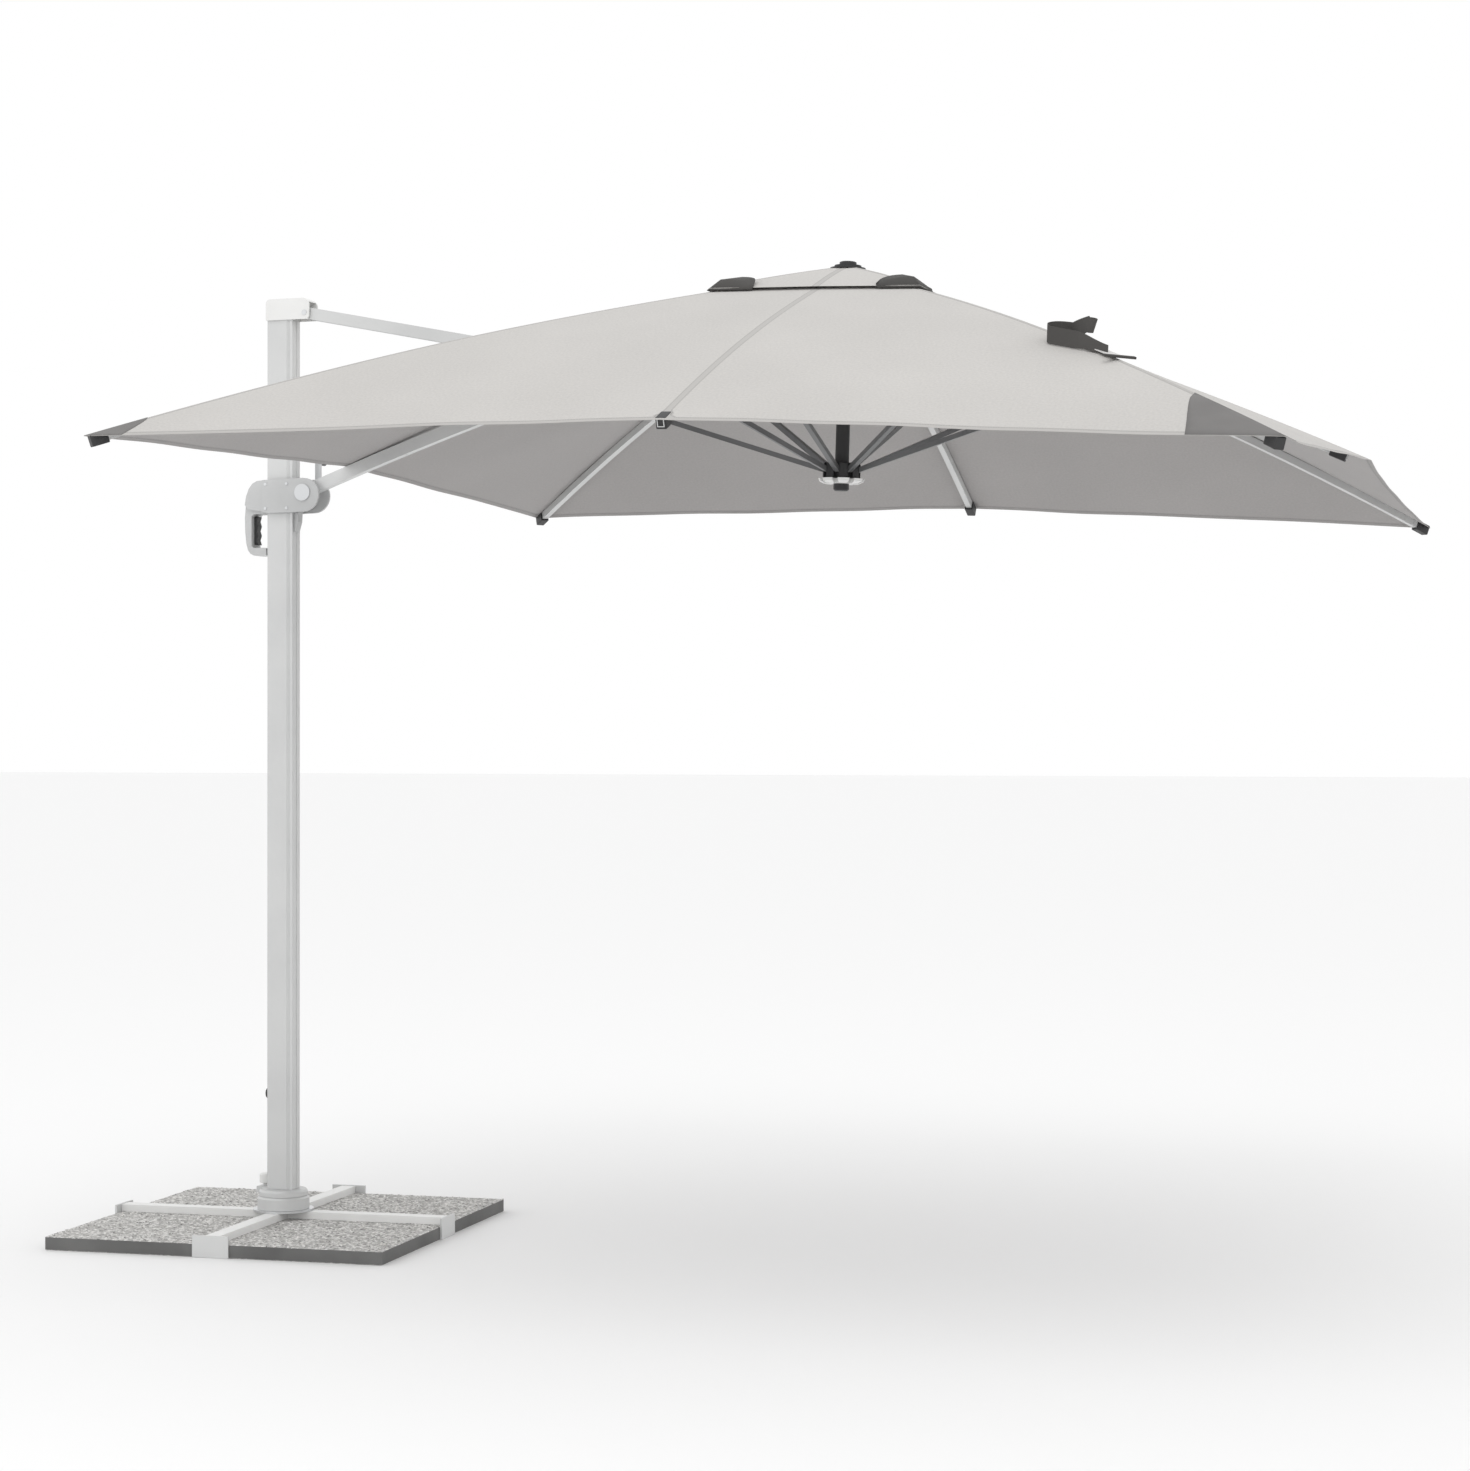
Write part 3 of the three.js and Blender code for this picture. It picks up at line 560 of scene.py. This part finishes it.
def seam_distance(name, point):
    """Millimetres to the rib line that a panel hangs from, and along it."""
    dx, dy, _ = RIBS[name]
    way = Vector((dx, dy, 0)).normalized()
    flat = Vector((point.x, point.y, 0))
    along = flat.dot(way)
    return MM * (flat - along * way).length, MM * along


def shell_layer(bm, store, lines, rows, height, drop):
    """One face of the cloth; store keeps each vertex's place on the canopy."""
    grid = []
    for q in rows:
        row = []
        for side, s in lines:
            p = height(side, q, s)
            p.z -= drop
            vert = bm.verts.new(p)
            store[vert] = (side, q, s)
            row.append(vert)
        grid.append(row)
    return grid


def closed_shell(bm, store, lines, rows, height):
    """Cloth with an outer face, an inner face and a rim."""
    top = shell_layer(bm, store, lines, rows, height, 0)
    low = shell_layer(bm, store, lines, rows, height, CLOTH)
    for i in range(len(rows) - 1):
        for j in range(len(lines) - 1):
            bm.faces.new((top[i][j], top[i + 1][j], top[i + 1][j + 1], top[i][j + 1]))
            face = bm.faces.new((low[i][j], low[i][j + 1], low[i + 1][j + 1], low[i + 1][j]))
            # The inner face takes the inside cloth, whose darker colour is painted shade.
            face.material_index = 1
    rim_top = top[0] + [r[-1] for r in top[1:-1]] + top[-1][::-1] + [r[0] for r in top[-2:0:-1]]
    rim_low = low[0] + [r[-1] for r in low[1:-1]] + low[-1][::-1] + [r[0] for r in low[-2:0:-1]]
    for k in range(len(rim_top)):
        m = (k + 1) % len(rim_top)
        bm.faces.new((rim_top[k], rim_top[m], rim_low[m], rim_low[k]))


def crumple(obj):
    """Gives the piece a mesh of its own."""
    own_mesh(obj)


def clamped(value):
    return max(0.0, min(1.0, value))


def slit_edge(q):
    """A point on the edge of the slit for the stay."""
    opening = SLIT_HALF * clamped((q - SLIT_FROM_Q) / SLIT_RAMP_Q) * clamped((SLIT_TO_Q - q) / SLIT_RAMP_Q)
    return canopy_point("inner", q, (SLIT_GAP + opening) / (HALF_Y * q))


def build_panel(name, spans, mats):
    """One rib's share of the cloth, with its share of the vent above it."""
    lines = []
    for side, first, last, count in spans:
        lines += [(side, first + (last - first) * j / count) for j in range(1 if lines else 0, count + 1)]
    sign = {"far_inner": -1, "near_inner": 1}.get(name, 0)

    def main(side, q, s):
        if side == "inner" and abs(s) < 1e-6:
            p = slit_edge(q)
            p.y = -sign * abs(p.y)
        else:
            p = canopy_point(side, q, s)
            if side == "inner" and abs(s) < 0.1:
                edge = abs(slit_edge(q).y)
                p.y = math.copysign(max(abs(p.y), edge + 0.002 + 0.3 * abs(p.y)), p.y)
        p.z += ripple(p.x, p.y, q)
        return p

    def vent(side, q, s):
        t = q / VENT_Q
        rim = canopy_point(side, VENT_Q, s).z + VENT_LIFT
        p = canopy_point(side, q, s)
        p.z = FLAP_APEX + (rim - FLAP_APEX) * t + VENT_CROWN * math.sin(math.pi * t)
        return p

    bm = bmesh.new()
    store = {}
    main_rows = [MAIN_FIRST_Q + 0.9 * i / MAIN_ROWS for i in range(MAIN_ROWS + 1)]
    vent_rows = [VENT_FIRST_Q + 0.196 * i / VENT_ROWS for i in range(VENT_ROWS + 1)]
    closed_shell(bm, store, lines, main_rows, main)
    closed_shell(bm, store, lines, vent_rows, vent)
    bm.verts.index_update()
    marks = [None] * len(bm.verts)
    for vert, (side, q, s) in store.items():
        across, along = seam_distance(name, vert.co)
        hem = (1 - q) * MM * HALF_Y if q > VENT_Q else (VENT_Q - q) * MM * HALF_Y
        marks[vert.index] = (min(across, max(hem, 0) * 0.55), along if across < hem else MM * HALF_Y * s)
    places = [(v.co.x, v.co.y) for v in bm.verts]
    obj = finish_mesh(f"canopy_{name}", bm, [mats["cloth_top"], mats["cloth_under"]])
    mesh = obj.data
    for key, k in (("seam_mm", 0), ("along_mm", 1)):
        layer = mesh.attributes.new(key, "FLOAT", "POINT")
        layer.data.foreach_set("value", [m[k] for m in marks])
    uv = mesh.uv_layers.new(name="Cloth")
    for loop in mesh.loops:
        uv.data[loop.index].uv = places[loop.vertex_index]
    mesh.set_sharp_from_angle(angle=math.radians(60))
    mesh.transform(CANOPY)
    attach(obj, f"rib_{name}")
    if name == "outer":
        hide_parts("panel_outer", "vent_flap")
    else:
        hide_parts(f"panel_{name}")
    crumple(obj)


def build_canopy(mats):
    """All seven panels."""
    for name, (_, _, spans) in RIBS.items():
        build_panel(name, spans, mats)


# Where each rib ends: side, place along the side, and q of its end cap
RIB_ENDS = {
    "near": ("near", 0, 0.985), "near_outer": ("outer", -1, 0.988), "outer": ("outer", 0, 0.951),
    "far_outer": ("outer", 1, 0.988), "far": ("far", 0, 0.985), "far_inner": ("inner", -1, 0.988),
    "near_inner": ("inner", 1, 0.988),
}
CAP_LOW, CAP_HIGH, CAP_ROUND = (-0.030, -0.0135, -0.032), (0.016, 0.0135, -0.0022), 0.004
PATCH_ROWS, PATCH_COLUMNS, PATCH_THICK = 8, 6, 0.0008
PATCH_REACH, STRAP_PATCH_REACH = 0.075, 0.17
POCKET_STEPS, POCKET_SPREAD, POCKET_DEPTH, POCKET_HEIGHT, POCKET_THICK = 12, 0.42, 0.10, 0.034, 0.0016


def build_end_cap(name, mats):
    """The black cap on a rib's end."""
    dx, dy, _ = RIBS[name]
    end_side, s, q = RIB_ENDS[name]
    way = Vector((dx, dy, 0)).normalized()
    side = Vector((-way.y, way.x, 0))
    tip = canopy_point(end_side, q, s)
    ahead = (tip - canopy_point(end_side, q - 0.03, s)).normalized()
    up = side.cross(ahead) * -1
    basis = Matrix((ahead, side, up)).transposed().to_4x4()
    turn = CANOPY @ Matrix.Translation(tip) @ basis
    cap = bevelled(f"rib_end_cap_{name}", box_mesh(CAP_LOW, CAP_HIGH), [mats["dark"]], CAP_ROUND, turn)
    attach(cap, f"rib_{name}")


def build_corner_patch(name, spans, mats):
    """A dark grey patch over a corner of the cloth."""
    bm = bmesh.new()
    reach = STRAP_PATCH_REACH if name == "near_outer" else PATCH_REACH
    for side, corner in ((spans[0][0], 1), (spans[1][0], -1)):
        rows = []
        for i in range(PATCH_ROWS + 1):
            q = 1 - reach * (1 - i / PATCH_ROWS)
            width = reach * (i / PATCH_ROWS) ** 0.8
            row = []
            for j in range(PATCH_COLUMNS + 1):
                p = canopy_point(side, q, corner * (1 - width * 0.9 * j / PATCH_COLUMNS))
                p.z += ripple(p.x, p.y, q) + CLOTH
                row.append(bm.verts.new(p))
            rows.append(row)
        for r0, r1 in zip(rows, rows[1:]):
            for j in range(PATCH_COLUMNS):
                bm.faces.new((r0[j], r0[j + 1], r1[j + 1], r1[j]))
    bmesh.ops.remove_doubles(bm, verts=bm.verts, dist=0.0002)
    bmesh.ops.recalc_face_normals(bm, faces=bm.faces)
    if sum(f.normal.z for f in bm.faces) < 0:
        bmesh.ops.reverse_faces(bm, faces=bm.faces)
    bmesh.ops.solidify(bm, geom=bm.faces, thickness=PATCH_THICK)
    patch = finish_mesh(f"corner_patch_{name}", bm, [mats["patch"]], turn=CANOPY)
    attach(patch, f"rib_{name}")
    crumple(patch)


def build_vent_pocket(name, spans, mats):
    """A lens of thicker webbing over a corner of the vent."""
    bm = bmesh.new()
    rows = []
    for i in range(POCKET_STEPS + 1):
        t = i / POCKET_STEPS * 2 - 1
        if t < 0:
            side, s = spans[0][0], 1 - POCKET_SPREAD * abs(t)
        else:
            side, s = spans[1][0], -1 + POCKET_SPREAD * abs(t)
        swell = 1 - t * t
        rim = canopy_point(side, VENT_Q, s)
        out = (rim - Vector((0, 0, rim.z))).normalized()
        low = rim + out * 0.006 + Vector((0, 0, 0.004))
        high = rim - out * (POCKET_DEPTH * swell) + Vector((0, 0, 0.016 + POCKET_HEIGHT * swell ** 0.7))
        middle = (low + high) / 2 + out * 0.012 * swell + Vector((0, 0, 0.010 * swell))
        rows.append([bm.verts.new(v) for v in (low, middle, high)])
    for r0, r1 in zip(rows, rows[1:]):
        for j in range(2):
            bm.faces.new((r0[j], r1[j], r1[j + 1], r0[j + 1]))
    bmesh.ops.recalc_face_normals(bm, faces=bm.faces)
    bmesh.ops.solidify(bm, geom=bm.faces, thickness=POCKET_THICK)
    pocket = finish_mesh(f"vent_pocket_{name}", bm, [mats["charcoal"]], turn=CANOPY)
    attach(pocket, f"rib_{name}")
    crumple(pocket)


def build_trim(mats):
    """Rib end caps, and at each corner a dark grey patch and a vent pocket."""
    for name, (_, _, spans) in RIBS.items():
        build_end_cap(name, mats)
        if len(spans) == 2:
            build_corner_patch(name, spans, mats)
            build_vent_pocket(name, spans, mats)


LOOP_RADIUS, CURL_RADIUS, TAIL_LENGTH = 0.034, 0.011, 0.046
STRAP_THICK, SLEEVE_THICK, SLEEVE_HALF = 0.0024, 0.0022, 0.020
BAR_LOW, BAR_HIGH, BAR_ROUND = (-0.006, -0.045, 0.001), (0.006, 0.045, 0.007), 0.0015


def build_strap(mats, settings):
    """The tie strap: sewn down by a bar on the near-outer ridge, with a free loop standing on edge."""
    def ridge(q, lift=0.0):
        p = canopy_point("near", q, 1.0)
        return Vector((p.x, p.y, p.z + lift))

    along = (ridge(0.62) - ridge(0.6)).normalized()
    away = Vector((-along.y, along.x, 0)).normalized()
    half = settings.strap_width / 2
    path = []
    width = []
    for i in range(21):
        t = i / 20
        p = canopy_point("near", 0.655 - 0.052 * t, 0.995 - 0.10 * t ** 0.8)
        path.append(p + Vector((0, 0, 0.012 + 0.012 * min(1.0, 3 * t))))
        width.append(Vector((0, 0, half * (0.5 + 0.5 * min(1.0, 2 * t)))))
    last = path[-1]
    for i in range(1, 15):
        turn = math.pi * i / 14
        back = along * LOOP_RADIUS * math.sin(turn)
        across = away * LOOP_RADIUS * (1 - math.cos(turn))
        path.append(last - back + across + Vector((0, 0, 0.014 * i / 14)))
        width.append(Vector((0, 0, half)))
    last = path[-1]
    for i in range(1, 13):
        t = i / 12
        path.append(last + along * TAIL_LENGTH * t + away * 0.012 * t * t + Vector((0, 0, 0.026 * t)))
        width.append(Vector((0, 0, half)) + away * 0.006 * t)
    last = path[-1]
    for i in range(1, 9):
        turn = math.pi * 1.5 * i / 8
        path.append(last + along * CURL_RADIUS * math.sin(turn) + away * CURL_RADIUS * (1 - math.cos(turn)))
        width.append(Vector((0, 0, 0.8 * half)) + away * 0.006)
    middle = [ridge(0.673 - 0.060 * i / 8, 0.003) for i in range(9)]
    halves = [away * SLEEVE_HALF] * len(middle)
    sleeve = ribbon("strap_sleeve", middle, halves, SLEEVE_THICK, mats["pale"], CANOPY)
    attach(sleeve, "rib_near_outer")
    strap = ribbon("tie_strap", path, width, STRAP_THICK, mats["charcoal"], CANOPY)
    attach(strap, "rib_near_outer")
    basis = Matrix((along, away, along.cross(away))).transposed().to_4x4()
    turn = CANOPY @ Matrix.Translation(ridge(0.675, 0.001)) @ basis
    bar = bevelled("strap_bar", box_mesh(BAR_LOW, BAR_HIGH), [mats["charcoal"]], BAR_ROUND, turn)
    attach(bar, "rib_near_outer")


def screw_tree():
    """A screw head at every point of a mesh, with its axis along Y."""
    tree, gin, gout = geometry_tree("Screw heads", [
        ("Radius", "NodeSocketFloat"), ("Depth", "NodeSocketFloat"), ("Material", "NodeSocketMaterial"),
    ])
    new = tree.nodes.new
    head = new("GeometryNodeMeshCylinder")
    head.inputs["Vertices"].default_value = 24
    place = new("GeometryNodeInstanceOnPoints")
    place.inputs["Rotation"].default_value = (math.pi / 2, 0, 0)
    solid = new("GeometryNodeRealizeInstances")
    paint = new("GeometryNodeSetMaterial")
    link = tree.links.new
    link(gin.outputs["Radius"], head.inputs["Radius"])
    link(gin.outputs["Depth"], head.inputs["Depth"])
    link(gin.outputs["Material"], paint.inputs["Material"])
    link(gin.outputs[0], place.inputs["Points"])
    link(head.outputs["Mesh"], place.inputs["Instance"])
    link(place.outputs[0], solid.inputs[0])
    link(solid.outputs[0], paint.inputs[0])
    link(paint.outputs[0], gout.inputs[0])
    return tree


SCREW_DEPTH = 0.0022


def build_screws(mats, settings):
    """Screw heads on the slider, and bolt heads on the stay and the mast cap."""
    tree = screw_tree()
    spots = {
        "slider": [(x, y, z) for y in (-0.0418, 0.0418) for x in (-0.040, 0.030) for z in (2.152, 2.224)],
        "stay": [(1.075, y, 2.533) for y in (-0.0232, 0.0232)],
        "mast": [(0.083, y, 2.7326) for y in (-0.0318, 0.0318)],
    }
    for body, points in spots.items():
        mesh = bpy.data.meshes.new(f"{body} screw places")
        mesh.from_pydata(points, [], [])
        obj = bpy.data.objects.new(f"screws_{body}", mesh)
        bpy.context.scene.collection.objects.link(obj)
        radius = settings.screw_radius if body == "slider" else settings.bolt_radius
        apply_tree(obj, tree, {"Radius": radius, "Depth": SCREW_DEPTH, "Material": mats["steel"]})
        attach(obj, body)


# Name, place, size, power
LIGHTS = (
    ("Key", (2.5, -3.5, 8.0), 4.0, 85),
    ("Left fill", (-5.0, -5.0, 4.0), 5.0, 25),
    ("Low fill", (4.0, -7.0, 0.9), 4.0, 20),
)
LIGHTS_AIM = Vector((1.2, 0, 1.6))
FLOOR_HALF, FLOOR_DROP = 120, 0.0006


def build_stage():
    """A pale floor, soft lights and a camera."""
    scene = bpy.context.scene
    mat, _, bsdf = shader_start("Studio floor")
    bsdf.inputs["Base Color"].default_value = (0.93, 0.93, 0.93, 1)
    bsdf.inputs["Roughness"].default_value = 0.9
    bm = bmesh.new()
    bmesh.ops.create_grid(bm, x_segments=1, y_segments=1, size=FLOOR_HALF)
    floor = finish_mesh("Floor", bm, [mat], smooth=False, turn=Matrix.Translation((0, 0, -FLOOR_DROP)))
    world = bpy.data.worlds.new("Studio")
    world.use_nodes = True
    world.node_tree.nodes["Background"].inputs["Color"].default_value = (1, 1, 1, 1)
    world.node_tree.nodes["Background"].inputs["Strength"].default_value = 1.0
    scene.world = world
    for name, place, size, power in LIGHTS:
        data = bpy.data.lights.new(name, "AREA")
        data.size = size
        data.energy = power
        lamp = bpy.data.objects.new(name, data)
        lamp.location = place
        lamp.rotation_euler = (LIGHTS_AIM - Vector(place)).to_track_quat("-Z", "Y").to_euler()
        scene.collection.objects.link(lamp)
    camera = bpy.data.objects.new("Camera", bpy.data.cameras.new("Camera"))
    camera.data.lens = 75.82
    camera.location = (4.230, -8.338, 1.458)
    camera.rotation_euler = (math.radians(90.11), 0, math.radians(18.61))
    scene.collection.objects.link(camera)
    scene.camera = camera
    scene.view_settings.view_transform = "Standard"


# ---- settings and operators -----------------------------------------------------------------------
class ParasolSettings(bpy.types.PropertyGroup):
    """Sizes and colours of the parasol's cloth, trim and slabs."""

    cloth_outside: bpy.props.FloatVectorProperty(
        name="Cloth outside", description="Colour of the canopy from above", subtype="COLOR", size=3,
        min=0, max=1, default=(0.55, 0.535, 0.515))
    # The inside colour is the same polyester darkened as painted shade of the underside.
    cloth_inside_shaded: bpy.props.FloatVectorProperty(
        name="Cloth inside, painted shade", description="Colour of the canopy from below", subtype="COLOR", size=3,
        min=0, max=1, default=(0.38, 0.366, 0.36))
    webbing: bpy.props.FloatVectorProperty(
        name="Webbing", description="Colour of the strap and the vent pockets", subtype="COLOR", size=3,
        min=0, max=1, default=(0.045, 0.043, 0.041))
    strap_width: bpy.props.FloatProperty(
        name="Strap width", description="Width of the tie strap", default=0.044, unit="LENGTH")
    pebble_spacing: bpy.props.FloatProperty(
        name="Pebble spacing", description="Least distance between pebbles", default=0.0062, unit="LENGTH")
    pebble_radius: bpy.props.FloatProperty(
        name="Pebble radius", description="Radius of a pebble", default=0.0048, unit="LENGTH")
    screw_radius: bpy.props.FloatProperty(
        name="Screw radius", description="Radius of the slider's screw heads", default=0.0045, unit="LENGTH")
    bolt_radius: bpy.props.FloatProperty(
        name="Bolt radius", description="Radius of the bolt heads on the stay and mast cap",
        default=0.008, unit="LENGTH")


MATERIALS = {}


def materials(context):
    """The parasol's materials, made when they are first asked for."""
    if not MATERIALS:
        MATERIALS.update(build_materials(context.scene.parasol_settings))
    return MATERIALS


class PARASOL_OT_frame(bpy.types.Operator):
    """Gives every CAD node its material"""

    bl_idname = "parasol.frame"
    bl_label = "Paint the frame"

    def execute(self, context):
        paint_frame(materials(context))
        return {"FINISHED"}


class PARASOL_OT_slabs(bpy.types.Operator):
    """Builds the four paving slabs with their pebbles"""

    bl_idname = "parasol.slabs"
    bl_label = "Build the slabs"

    def execute(self, context):
        build_slabs(materials(context), context.scene.parasol_settings)
        return {"FINISHED"}


class PARASOL_OT_canopy(bpy.types.Operator):
    """Builds the canopy's cloth panels"""

    bl_idname = "parasol.canopy"
    bl_label = "Build the canopy"

    def execute(self, context):
        build_canopy(materials(context))
        return {"FINISHED"}


class PARASOL_OT_trim(bpy.types.Operator):
    """Builds the end caps, corner patches and vent pockets"""

    bl_idname = "parasol.trim"
    bl_label = "Build the trim"

    def execute(self, context):
        build_trim(materials(context))
        return {"FINISHED"}


class PARASOL_OT_strap(bpy.types.Operator):
    """Builds the tie strap, its sleeve and its bar"""

    bl_idname = "parasol.strap"
    bl_label = "Build the strap"

    def execute(self, context):
        build_strap(materials(context), context.scene.parasol_settings)
        return {"FINISHED"}


class PARASOL_OT_screws(bpy.types.Operator):
    """Builds the screw and bolt heads"""

    bl_idname = "parasol.screws"
    bl_label = "Build the screws"

    def execute(self, context):
        build_screws(materials(context), context.scene.parasol_settings)
        return {"FINISHED"}


class PARASOL_OT_stage(bpy.types.Operator):
    """Builds the floor, lights and camera"""

    bl_idname = "parasol.stage"
    bl_label = "Build the studio"

    def execute(self, context):
        build_stage()
        return {"FINISHED"}


OPERATORS = [
    PARASOL_OT_frame, PARASOL_OT_slabs, PARASOL_OT_canopy, PARASOL_OT_trim,
    PARASOL_OT_strap, PARASOL_OT_screws, PARASOL_OT_stage,
]


class PARASOL_PT_panel(bpy.types.Panel):
    """The sidebar panel."""

    bl_label = "Parasol"
    bl_idname = "PARASOL_PT_panel"
    bl_space_type = "VIEW_3D"
    bl_region_type = "UI"
    bl_category = "Parasol"

    def draw(self, context):
        settings = context.scene.parasol_settings
        for key in ParasolSettings.__annotations__:
            self.layout.prop(settings, key)
        for cls in OPERATORS:
            self.layout.operator(cls.bl_idname)


CLASSES = [ParasolSettings, *OPERATORS, PARASOL_PT_panel]


def register():
    for cls in CLASSES:
        bpy.utils.register_class(cls)
    bpy.types.Scene.parasol_settings = bpy.props.PointerProperty(type=ParasolSettings)


def unregister():
    del bpy.types.Scene.parasol_settings
    for cls in reversed(CLASSES):
        bpy.utils.unregister_class(cls)


def main():
    register()
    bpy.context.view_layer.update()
    bpy.ops.parasol.frame()
    bpy.ops.parasol.slabs()
    bpy.ops.parasol.canopy()
    bpy.ops.parasol.trim()
    bpy.ops.parasol.strap()
    bpy.ops.parasol.screws()
    bpy.ops.parasol.stage()
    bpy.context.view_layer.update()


if __name__ == "__main__":
    main()
